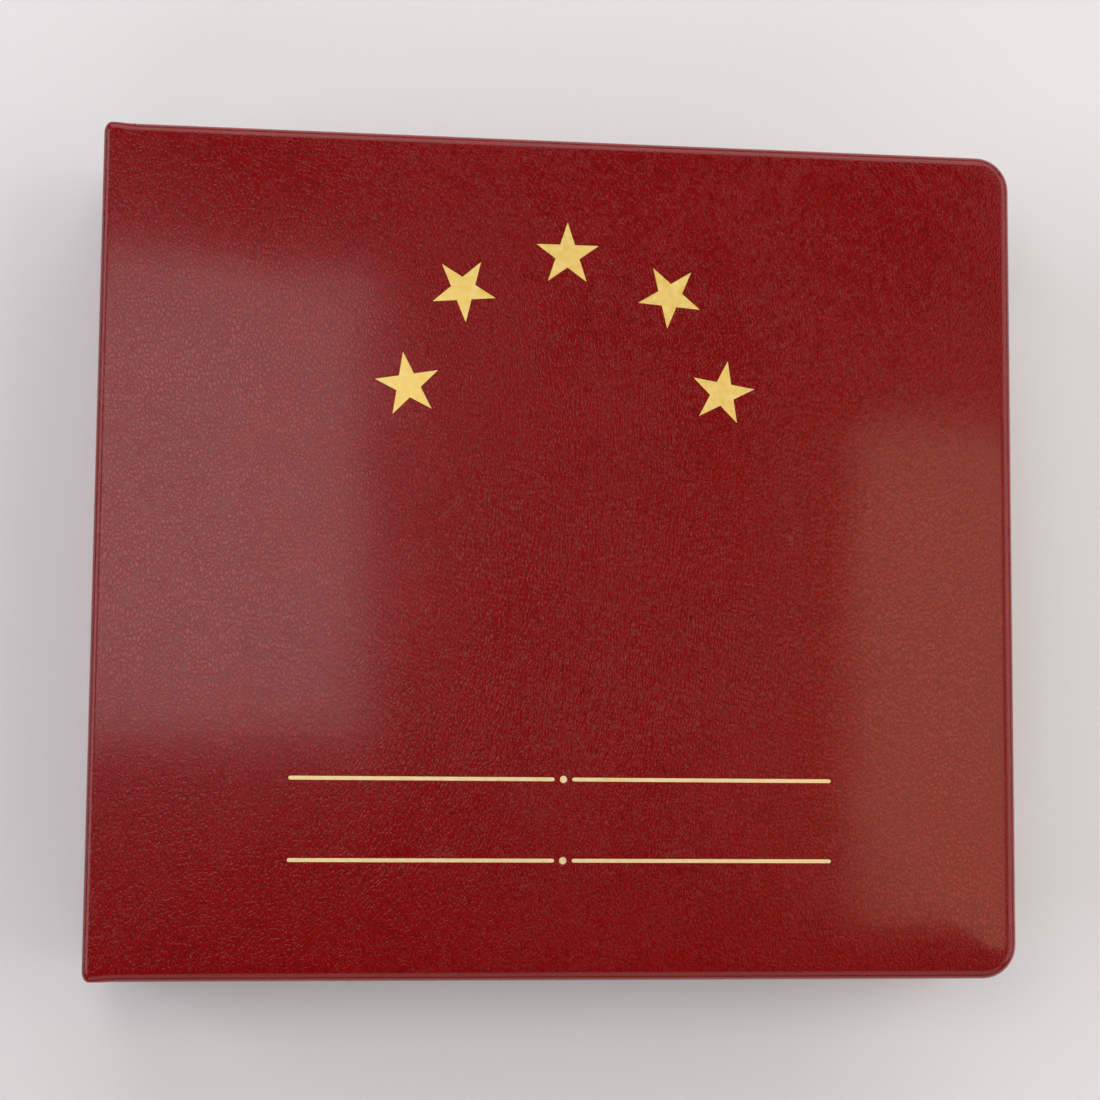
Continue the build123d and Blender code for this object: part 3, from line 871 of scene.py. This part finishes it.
def wrapStrip(name, path, rows, thickness, lift, material, curl=None):
    # sweeps rows along a path of (place, outward direction); curl deepens the rows' ends along it
    outer, inner, edge, faces = [], [], [], []
    for number, (spot, outward) in enumerate(path):
        for y, height in rows:
            height *= curl[number] if curl else 1.0
            raised = lift(number, y) if height == 0 else 0.0
            base = Vector((spot.x, y, spot.z))
            outer.append(base + outward * (height + raised))
            turnedIn = height <= -panelDepth + 0.2 * mm    # the skin's own thickness lies outwards there
            tucked = base + outward * (height + raised - thickness * (not turnedIn) + thickness * turnedIn)
            side = max(abs(y) - (headY - pad["roll"]), 0.0) / pad["roll"]
            tucked.y -= math.copysign(thickness * side, y)
            inner.append(tucked)
            edge.append(max(headY - abs(y), 0.0) if height > -pad["roll"] else 0.0)
    width = len(rows)
    for p in range(len(path) - 1):
        for i in range(width - 1):
            a, b = p * width + i, (p + 1) * width + i
            faces.append([a, b, b + 1, a + 1])
    piece = makeObject(name, *closeShell(outer, inner, faces))
    storeFloat(piece, "edgeDistance", edge + edge)
    paint(piece, material)
    return piece


def foldPath(upper, inset):
    # from the spine's edge round the corner to the cover's edge, on the outside or inset inwards
    centreX, radius = spineX + hingeInset, hingeInset - inset
    flatSteps, turnSteps = strip["foldSteps"]
    spots = [(Vector((spineX + inset, 0, spineLowZ + (hingeInset - spineLowZ) * i / flatSteps)),
              Vector((-1, 0, 0))) for i in range(flatSteps)]
    for i in range(turnSteps + 1):
        turn = math.radians(180 + 90 * i / turnSteps)
        outward = Vector((math.cos(turn), 0, math.sin(turn)))
        spots.append((Vector((centreX, 0, hingeInset)) + outward * radius, outward))
    spots += [(Vector((centreX + (coverLowX - centreX) * i / flatSteps, 0, inset)), Vector((0, 0, -1)))
              for i in range(1, flatSteps + 1)]
    if upper:
        spots = [(Vector((s.x, 0, topZ - s.z)), Vector((o.x, 0, -o.z))) for s, o in spots]
    return spots


def spinePath():
    count = strip["spineSteps"][0]
    return [(Vector((spineX, 0, spineHighZ + (spineLowZ - spineHighZ) * i / count)), Vector((-1, 0, 0)))
            for i in range(count + 1)]


def rivetLift(number, y):
    # The padding is drawn in round each rivet.
    z = spineHighZ + (spineLowZ - spineHighZ) * number / strip["spineSteps"][0]
    away = min(math.hypot(z - middleZ, y - rivetY) for rivetY in rivetYs)
    slope = (strip["rivetReach"] - away) / (strip["rivetReach"] - strip["rivetFlat"])
    return -strip["rivetDimple"] * smoothStep(slope)


def noLift(number, y):
    return 0.0


def foldPiece(prefix, label, inset, thickness, material):
    # runs from the spine round to its cover
    upper, flatSteps, turnSteps = prefix == "front", *strip["foldSteps"]
    path = foldPath(upper, inset)
    if upper:
        path.reverse()
    if label == "Fold":
        rows, last = acrossRows(1.0, False), flatSteps + turnSteps
        deepen = [smoothStep(max(i - last, flatSteps - i, 0) / flatSteps) for i in range(len(path))]
        curl = [strip["foldRoll"] + (pad["roll"] - strip["foldRoll"]) * share for share in deepen]
    else:
        share = (headY - strip["liningShort"]) / headY
        rows, curl = [(y * share, 0.0) for y, height in acrossRows(1.0, False)], None
    piece = wrapStrip(prefix + label, path, rows, thickness, noLift, material, curl)
    outside = foldPath(upper, 0.0)
    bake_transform(piece)
    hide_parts(f"{prefix}_hinge_fold" if label == "Fold" else f"{prefix}_hinge_liner")


def boardCover(name, low, high, body):
    # leatherette over a board's end or bare edge
    corners = [(x, y, z) for x in (low[0], high[0]) for y in (low[1], high[1]) for z in (low[2], high[2])]
    faces = [[0, 1, 3, 2], [4, 6, 7, 5], [0, 4, 5, 1], [2, 3, 7, 6], [0, 2, 6, 4], [1, 5, 7, 3]]
    piece = makeObject(name, corners, faces, smooth=False)
    paint(piece, leatherFinish)
    settle(piece, "leatherette", body)


spineSkin = wrapStrip("spineCovering", spinePath(), acrossRows(pad["roll"], True, strip["spineSteps"][1]),
                      pad["skin"], rivetLift, leatherFinish)
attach(spineSkin, "spine")
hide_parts("spine_leatherette", "spine_padding")
for prefix in ("front", "back"):
    foldPiece(prefix, "Fold", 0.0, pad["skin"], leatherFinish)
    foldPiece(prefix, "FoldLining", pad["skin"], strip["lining"], liningFinish)

wallY, wall = headY - strip["wallGap"], strip["lining"]
wallLow, wallHigh = strip["wallGap"], panelDepth - strip["wallGap"] / 2
endX, spineFaceX, edgeX = coverLowX - wall, spineX + wallHigh, spineX + panelDepth + strip["edgeLift"]
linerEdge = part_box("spine_liner")
# name: low and high corner's x and z, body
for name, lowX, lowZ, highX, highZ, body in (
        ("frontEndWall", endX, topZ - wallHigh, coverLowX, topZ - wallLow, "front_cover"),
        ("backEndWall", endX, wallLow, coverLowX, wallHigh, "back_cover"),
        ("spineTopWall", spineX + wallLow, spineHighZ, spineFaceX, spineHighZ + wall, "spine"),
        ("spineLowWall", spineX + wallLow, spineLowZ - wall, spineFaceX, spineLowZ, "spine"),
        ("spineTopEdge", spineFaceX, linerEdge[1].z, edgeX, spineHighZ, "spine"),
        ("spineLowEdge", spineFaceX, spineLowZ, edgeX, linerEdge[0].z, "spine")):
    boardCover(name, (lowX, -wallY, lowZ), (highX, wallY, highZ), body)
print("stage: spine and folds built")

# Pages: clear pocket sleeves on the rings, each with two mounting cards and twelve stamps

page = {
    "count": 8,
    "film": 0.25 * mm,        # half the thickness where the sleeve is welded
    "strip": 0.42 * mm,       # the same in the stiffened strip with the holes
    "bulge": 0.04 * mm,
    "weldEase": 3.0 * mm,     # over this width the film rises from a weld onto the card
    "corner": 4.0 * mm,
    "bindingStrip": 22.0 * mm,
    "weld": 4.0 * mm,
    "slotWidth": 6.0 * mm,    # along the spine
    "pocketCorner": 0.8 * mm,
    "grid": 7.0 * mm,
    "cardCorner": 1.5 * mm,
}
stamp = {
    "Width": 30.0 * mm,
    "Height": 40.0 * mm,
    "Tooth Pitch": 1.9 * mm,
    "Bite": 0.75 * mm,
    "Thickness": 0.15 * mm,
    "Seed": 7,
}


spineWay = Vector((0, 1, 0))


def loosePieces(nodeName):
    # The separate solids in a node, each as a list of places.
    node = frame["nodes"][nodeName]
    spots, same, index = [], {}, []
    for vertex in node.data.vertices:
        spot = node.matrix_world @ vertex.co
        key = tuple(round(c * 1e6) for c in spot)
        if key not in same:
            same[key] = len(spots)
            spots.append(spot)
        index.append(same[key])
    parent = list(range(len(spots)))

    def root(i):
        while parent[i] != i:
            parent[i] = parent[parent[i]]
            i = parent[i]
        return i

    for polygon in node.data.polygons:
        for corner in polygon.vertices[1:]:
            parent[root(index[corner])] = root(index[polygon.vertices[0]])
    groups = {}
    for i, spot in enumerate(spots):
        groups.setdefault(root(i), []).append(spot)
    return list(groups.values())


def leafAxes(spots):
    # Directions across and out of a flat leaf that may lean about the spine's direction.
    middle = sum(spots, Vector()) / len(spots)
    xx = sum((p.x - middle.x) ** 2 for p in spots)
    zz = sum((p.z - middle.z) ** 2 for p in spots)
    xz = sum((p.x - middle.x) * (p.z - middle.z) for p in spots)
    lean = 0.5 * math.atan2(2 * xz, xx - zz)
    return Vector((math.cos(lean), 0, math.sin(lean))), Vector((-math.sin(lean), 0, math.cos(lean)))


def extent(spots, axis):
    reach = [p.dot(axis) for p in spots]
    return min(reach), max(reach)


def leafBox(spots):
    # a leaf's two axes and its reach across, along the spine and outwards
    across, out = leafAxes(spots)
    return across, out, extent(spots, across), extent(spots, spineWay), extent(spots, out)


def roundedOutline(low, high, radius, steps=4, side=1):
    # a rounded rectangle from corner low to corner high; side is the number of steps along each side
    points = []
    centres = [(high[0] - radius, low[1] + radius), (high[0] - radius, high[1] - radius),
               (low[0] + radius, high[1] - radius), (low[0] + radius, low[1] + radius)]
    arcs = [arcPoints(centre, radius, start, start + 90, steps, True)
            for centre, start in zip(centres, (-90, 0, 90, 180))]
    for arc, after in zip(arcs, arcs[1:] + arcs[:1]):
        first, last = Vector(arc[-1]), Vector(after[0])
        points += arc + [tuple(first.lerp(last, i / side)) for i in range(1, side)]
    return points


ringSpots = [sum(spots, Vector()) / len(spots) for spots in loosePieces("upper_ring_halves")]
ringYs = sorted({round(spot.y, 3) for spot in ringSpots})


def sleevePiece(number, body, nodeName):
    spots = loosePieces(nodeName)[0]
    across, out, (lowU, highU), (lowV, highV), (lowW, highW) = leafBox(spots)
    middleW, fullHalf = (lowW + highW) / 2, (highW - lowW) / 2
    weld, ease, binding = page["weld"], page["weldEase"], lowU + page["bindingStrip"]
    slotHalf = page["slotWidth"] / 2
    pockets = [((binding, y0), (highU - weld, y1))
               for y0, y1 in ((lowV + weld, -weld / 2), (weld / 2, highV - weld))]
    cadSlot = [spot for spot in spots if abs(spot.y - ringYs[0]) < slotHalf * 1.02
               and spot.dot(across) < lowU + page["bindingStrip"] * 0.95]
    slotLow, slotHigh = extent(cadSlot, across)
    holes = [roundedOutline((slotLow, y - slotHalf), (slotHigh, y + slotHalf), slotHalf * 0.999, 6)
             for y in ringYs]
    loops = [roundedOutline((lowU, lowV), (highU, highV), page["corner"], 5, 24)] + holes
    for (u0, v0), (u1, v1) in pockets:
        for inset in (0.0, ease * 0.35, ease * 0.7, ease):
            loops.append(roundedOutline((u0 + inset, v0 + inset), (u1 - inset, v1 - inset),
                                        page["pocketCorner"], 2, 20))
    points, edges = [], []
    for loop in loops:
        addLoop(points, edges, loop)
    u, grid = lowU + page["grid"], page["grid"]
    while u < highU - grid / 2:
        v = lowV + grid
        while v < highV - grid / 2:
            points.append(Vector((u, v)))
            v += grid
        u += grid
    flat = geometry.delaunay_2d_cdt(points, edges, [list(range(len(loops[0])))], 1, 1e-7)

    def halfThickness(u, v):
        if u < binding:
            return page["strip"]
        for (u0, v0), (u1, v1) in pockets:
            inside = min(u - u0, u1 - u, v - v0, v1 - v)
            if inside > 0:
                ripple = noise.noise(Vector((u * 28, v * 28, number * 3.1))) * page["bulge"]
                full = fullHalf - page["bulge"] + ripple
                return page["film"] + (full - page["film"]) * smoothStep(inside / ease)
        return page["film"]

    upper, lower = [], []
    for point in flat[0]:
        base = across * point.x + spineWay * point.y + out * middleW
        half = halfThickness(point.x, point.y)
        upper.append(base + out * half)
        lower.append(base - out * half)
    faces = []
    for face in flat[2]:
        centre = sum((flat[0][i] for i in face), Vector((0, 0))) / len(face)
        if not any(insidePolygon(tuple(centre), hole) for hole in holes):
            faces.append(list(face))
    piece = makeObject(f"page{number}Sleeve", *closeShell(upper, lower, faces))
    paint(piece, filmFinish)
    settle(piece, "sleeve_film", body, nodeName)


def storeVectors(piece, name, vectors):
    attribute = piece.data.attributes.new(name, "FLOAT_VECTOR", "POINT")
    attribute.data.foreach_set("vector", [c for vector in vectors for c in vector])


def cardPiece(number, body, nodeName):
    upper, lower, faces, local = [], [], [], []
    for spots in loosePieces(nodeName):
        across, out, us, vs, ws = leafBox(spots)
        first = len(upper)
        for u, v in roundedOutline((us[0], vs[0]), (us[1], vs[1]), page["cardCorner"]):
            upper.append(across * u + spineWay * v + out * ws[1])
            lower.append(across * u + spineWay * v + out * ws[0])
            local.append((u - sum(us) / 2, v - sum(vs) / 2, 0.0))
        faces.append(list(range(first, len(upper))))
    piece = makeObject(f"page{number}Cards", *closeShell(upper, lower, faces), smooth=False)
    storeVectors(piece, "printPlace", local + local)
    paint(piece, cardFinish)
    settle(piece, "card", body, nodeName)


# The perforated stamp, built as Geometry Nodes and set on a page's points

toothSteps = 6.0


def buildStampTree():
    tree = bpy.data.node_groups.new("perforatedStamps", "GeometryNodeTree")
    tree.interface.new_socket("Geometry", in_out="INPUT", socket_type="NodeSocketGeometry")
    for label in ("Width", "Height", "Tooth Pitch", "Bite", "Thickness"):
        tree.interface.new_socket(label, in_out="INPUT", socket_type="NodeSocketFloat")
    tree.interface.new_socket("Seed", in_out="INPUT", socket_type="NodeSocketInt")
    tree.interface.new_socket("Finish", in_out="INPUT", socket_type="NodeSocketMaterial")
    tree.interface.new_socket("Geometry", in_out="OUTPUT", socket_type="NodeSocketGeometry")
    source, sink = tree.nodes.new("NodeGroupInput"), tree.nodes.new("NodeGroupOutput")
    given = source.outputs

    def add(kind, **links):
        node = tree.nodes.new(kind)
        for label, value in links.items():
            setOrLink(tree, node.inputs[label.replace("_", " ")], value)
        return node

    def store(name, kind, geometrySocket, value, domain="POINT"):
        node = add("GeometryNodeStoreNamedAttribute", Geometry=geometrySocket)
        node.data_type, node.domain = kind, domain
        node.inputs["Name"].default_value = name
        tree.links.new(value, node.inputs["Value"])
        return node.outputs[0]

    # an outline with six steps to a tooth, so that each bite is round
    calc = calculator(tree)
    outline = add("GeometryNodeCurvePrimitiveQuadrilateral", Width=given["Width"], Height=given["Height"])
    around = calc("MULTIPLY", calc("ADD", given["Width"], given["Height"]), 2.0)
    teeth = calc("ROUND", calc("DIVIDE", around, given["Tooth Pitch"]))
    resampled = add("GeometryNodeResampleCurve", Curve=outline.outputs[0],
                    Count=calc("MULTIPLY", teeth, toothSteps))
    parts = tree.nodes.new("ShaderNodeSeparateXYZ")
    tree.links.new(add("GeometryNodeInputPosition").outputs[0], parts.inputs[0])
    shareX = calc("DIVIDE", parts.outputs[0], given["Width"])
    shareY = calc("DIVIDE", parts.outputs[1], given["Height"])
    onSide = calc("GREATER_THAN", calc("ABSOLUTE", shareX), calc("ABSOLUTE", shareY))
    onEnd = calc("SUBTRACT", 1.0, onSide)
    step = calc("MULTIPLY", add("GeometryNodeInputIndex").outputs[0], 2 * math.pi / toothSteps)
    wave = calc("MULTIPLY", calc("SUBTRACT", 1.0, calc("COSINE", step)), 0.5)
    depth = calc("MULTIPLY", calc("POWER", wave, 0.7), given["Bite"])
    moved, offset = (tree.nodes.new("ShaderNodeCombineXYZ") for i in range(2))
    for i, (share, on) in enumerate(((shareX, onSide), (shareY, onEnd))):
        inwards = calc("MULTIPLY", calc("SIGN", share), calc("MULTIPLY", depth, -1.0))
        tree.links.new(calc("MULTIPLY", inwards, on), moved.inputs[i])
    bitten = add("GeometryNodeSetPosition", Geometry=resampled.outputs[0], Offset=moved.outputs[0])
    filled = add("GeometryNodeFillCurve", Curve=bitten.outputs[0])
    tree.links.new(given["Thickness"], offset.inputs[2])
    raised = add("GeometryNodeExtrudeMesh", Mesh=filled.outputs[0], Offset=offset.outputs[0])
    raised.inputs["Offset Scale"].default_value = 1.0
    raised.inputs["Individual"].default_value = False
    under = add("GeometryNodeFlipFaces", Mesh=filled.outputs[0])
    joined = add("GeometryNodeJoinGeometry")
    for part in (raised, under):
        tree.links.new(part.outputs[0], joined.inputs[0])
    solid = add("GeometryNodeMergeByDistance", Geometry=joined.outputs[0], Distance=0.000002)

    # its own place on the stamp, for the relief, and a number that differs from stamp to stamp
    placed = store("stampPlace", "FLOAT_VECTOR", solid.outputs[0],
                   add("GeometryNodeInputPosition").outputs[0])
    turn = add("GeometryNodeInputNamedAttribute")
    turn.data_type = "FLOAT_VECTOR"
    turn.inputs["Name"].default_value = "facing"
    rotation = add("FunctionNodeEulerToRotation", Euler=turn.outputs[0])
    spread = add("GeometryNodeInstanceOnPoints", Points=given["Geometry"], Instance=placed,
                 Rotation=rotation.outputs[0])
    draw = add("FunctionNodeRandomValue", Seed=given["Seed"])
    draw.data_type = "FLOAT"
    kinds = store("stampKind", "FLOAT", spread.outputs[0], next(o for o in draw.outputs if o.enabled),
                  "INSTANCE")
    real = add("GeometryNodeRealizeInstances", Geometry=kinds)
    finished = add("GeometryNodeSetMaterial", Geometry=real.outputs[0], Material=given["Finish"])
    tree.links.new(finished.outputs[0], sink.inputs[0])
    return tree


stampTree = buildStampTree()


def stampPiece(number, body, nodeName):
    groups = loosePieces(nodeName)
    across, out = leafAxes(groups[0])
    levels = [sum(extent(spots, out)) / 2 for spots in groups]
    middleW = sum(levels) / len(levels)
    places, turns = [], []
    for spots, level in zip(groups, levels):
        side = 1 if level > middleW else -1
        low, high = extent(spots, out)
        centre = sum(spots, Vector()) / len(spots)
        base = centre + out * ((low if side > 0 else high) - centre.dot(out))
        places.append(base)
        turns.append(Matrix((across * side, spineWay, out * side)).transposed().to_euler())
    piece = makeObject(f"page{number}Stamps", places, [], smooth=False)
    storeVectors(piece, "facing", turns)
    modifier = piece.modifiers.new("stamps", "NODES")
    modifier.node_group = stampTree
    for socket in stampTree.interface.items_tree:
        if socket.in_out == "INPUT" and socket.name in stamp:
            modifier[socket.identifier] = stamp[socket.name] + (number if socket.name == "Seed" else 0)
        elif socket.in_out == "INPUT" and socket.name == "Finish":
            modifier[socket.identifier] = stampFinish
    evaluated = piece.evaluated_get(bpy.context.evaluated_depsgraph_get())
    mesh = bpy.data.meshes.new_from_object(evaluated)
    piece.modifiers.clear()
    piece.data = mesh
    settle(piece, "stamp", body, nodeName)


for number in range(1, page["count"] + 1):
    for makePiece, part in ((sleevePiece, "sleeve"), (cardPiece, "cards"), (stampPiece, "stamps")):
        makePiece(number, f"page_{number}", f"page_{number}_{part}")
print("stage: pages built")

# Carried-over CAD pieces get their finishes

for prefix in ("front", "back", "spine"):
    if prefix != "spine":
        paintNode(f"{prefix}_padding", foamFinish)
    paintNode(f"{prefix}_board", boardFinish)
    paintNode(f"{prefix}_liner", liningFinish)
for nodeName in ("ring_plate", "upper_ring_halves", "lower_ring_halves", "head_lever", "tail_lever",
                 "spine_rivets"):
    paintNode(nodeName, nickelFinish)
for nodeName in ("upper_ring_blade", "lower_ring_blade", "lever_pins"):
    paintNode(nodeName, bladeFinish)

# Floor, light and camera

studio = {
    "floorColour": (0.93, 0.93, 0.94, 1.0),
    "floorSize": 80.0,
    "floorDrop": 0.0004,
    "overheadLift": 0.9,      # height of the two overhead lights above the cover
    "mirrorZone": 0.03,       # brightness of the room that the cover mirrors
    "backdrop": 0.9,
    "fade": (0.5, 2.4),       # over these distances the floor takes on the backdrop's even brightness
    # name: place and target, width, height, power, colour
    "overhead": {
        "windowLight": ((-0.262, 0.118), 0.475, 0.34, 1.5, (1.0, 0.97, 0.95)),
        "warmLight": ((0.45, -0.02), 0.25, 0.40, 0.9, (1.0, 0.66, 0.42)),
    },
    "sides": {
        "frontFill": ((0.25, -1.9, 1.25), 3.2, 1.5, 13.0, (1.0, 1.0, 1.0)),
        "leftFill": ((-1.9, 0.1, 1.25), 2.0, 1.2, 20.0, (0.93, 0.94, 1.0)),
        "backFill": ((0.3, 1.9, 1.25), 3.2, 1.5, 27.0, (1.0, 1.0, 1.0)),
        "rightFill": ((1.9, 0.1, 1.2), 2.6, 1.5, 20.0, (1.0, 0.97, 0.94)),
    },
}


def makeFloor():
    size, low, colour = studio["floorSize"] / 2, -studio["floorDrop"], studio["floorColour"]
    corners = [(-size, -size, low), (size, -size, low), (size, size, low), (-size, size, low)]
    piece = makeObject("floor", corners, [[0, 1, 2, 3]], smooth=False)
    material, tree, shader, where = newFinish("paleFloor", Roughness=0.8, Emission_Color=colour)
    length = tree.nodes.new("ShaderNodeVectorMath")
    length.operation = "LENGTH"
    tree.links.new(where, length.inputs[0])
    far = rangeNode(tree, length.outputs["Value"], *studio["fade"], smooth=True)
    feed(tree, shader, Base_Color=mixColour(tree, far, colour, (0.0, 0.0, 0.0, 1.0)),
         Emission_Strength=mathNode(tree, "MULTIPLY", far, studio["backdrop"]))
    paint(piece, material)


def areaLight(name, place, target, width, height, power, colour):
    data = bpy.data.lights.new(name, "AREA")
    data.shape = "RECTANGLE"
    data.size, data.size_y = width, height
    data.energy = power
    data.color = colour
    light = bpy.data.objects.new(name, data)
    light.location = place
    light.rotation_mode = "QUATERNION"
    light.rotation_quaternion = (Vector(target) - Vector(place)).to_track_quat("-Z", "Y")
    bpy.context.scene.collection.objects.link(light)


def makeWorld():
    # Pale behind the object, dim in what the cover mirrors.
    world = bpy.data.worlds.new("studioWorld")
    bpy.context.scene.world = world
    world.use_nodes = True
    tree = world.node_tree
    background = tree.nodes["Background"]
    background.inputs["Color"].default_value = (1.0, 1.0, 1.0, 1.0)
    seen = tree.nodes.new("ShaderNodeLightPath").outputs["Is Camera Ray"]
    level = rangeNode(tree, seen, 0.0, 1.0, studio["mirrorZone"], studio["backdrop"])
    tree.links.new(level, background.inputs["Strength"])


makeFloor()
for name, (spot, width, height, power, colour) in studio["overhead"].items():
    place = (spot[0], spot[1], topZ + studio["overheadLift"])
    areaLight(name, place, (spot[0], spot[1], 0), width, height, power, colour)
for name, (place, width, height, power, colour) in studio["sides"].items():
    areaLight(name, place, (0, 0, 0), width, height, power, colour)
makeWorld()

shot = {
    "lens": 72.0,
    "sensor": 36.0,
    "place": (-0.2963, -0.2103, 2.34),       # from the middle of the cover, in album widths
    "right": (0.9928, 0.0084, 0.1196),
    "up": (-0.0191, 0.9959, 0.0884),
}


def makeCamera():
    data = bpy.data.cameras.new("camera")
    data.lens, data.sensor_width = shot["lens"], shot["sensor"]
    camera = bpy.data.objects.new("camera", data)
    right = Vector(shot["right"]).normalized()
    back = right.cross(Vector(shot["up"])).normalized()
    turn = Matrix((right, back.cross(right), back)).transposed().to_4x4()
    camera.matrix_world = Matrix.Translation(Vector(shot["place"]) * albumWidth + Vector((0, 0, topZ))) @ turn
    bpy.context.scene.collection.objects.link(camera)
    bpy.context.scene.camera = camera


makeCamera()
bpy.context.scene.view_settings.view_transform = "Standard"
print("stage: floor, light and camera set")
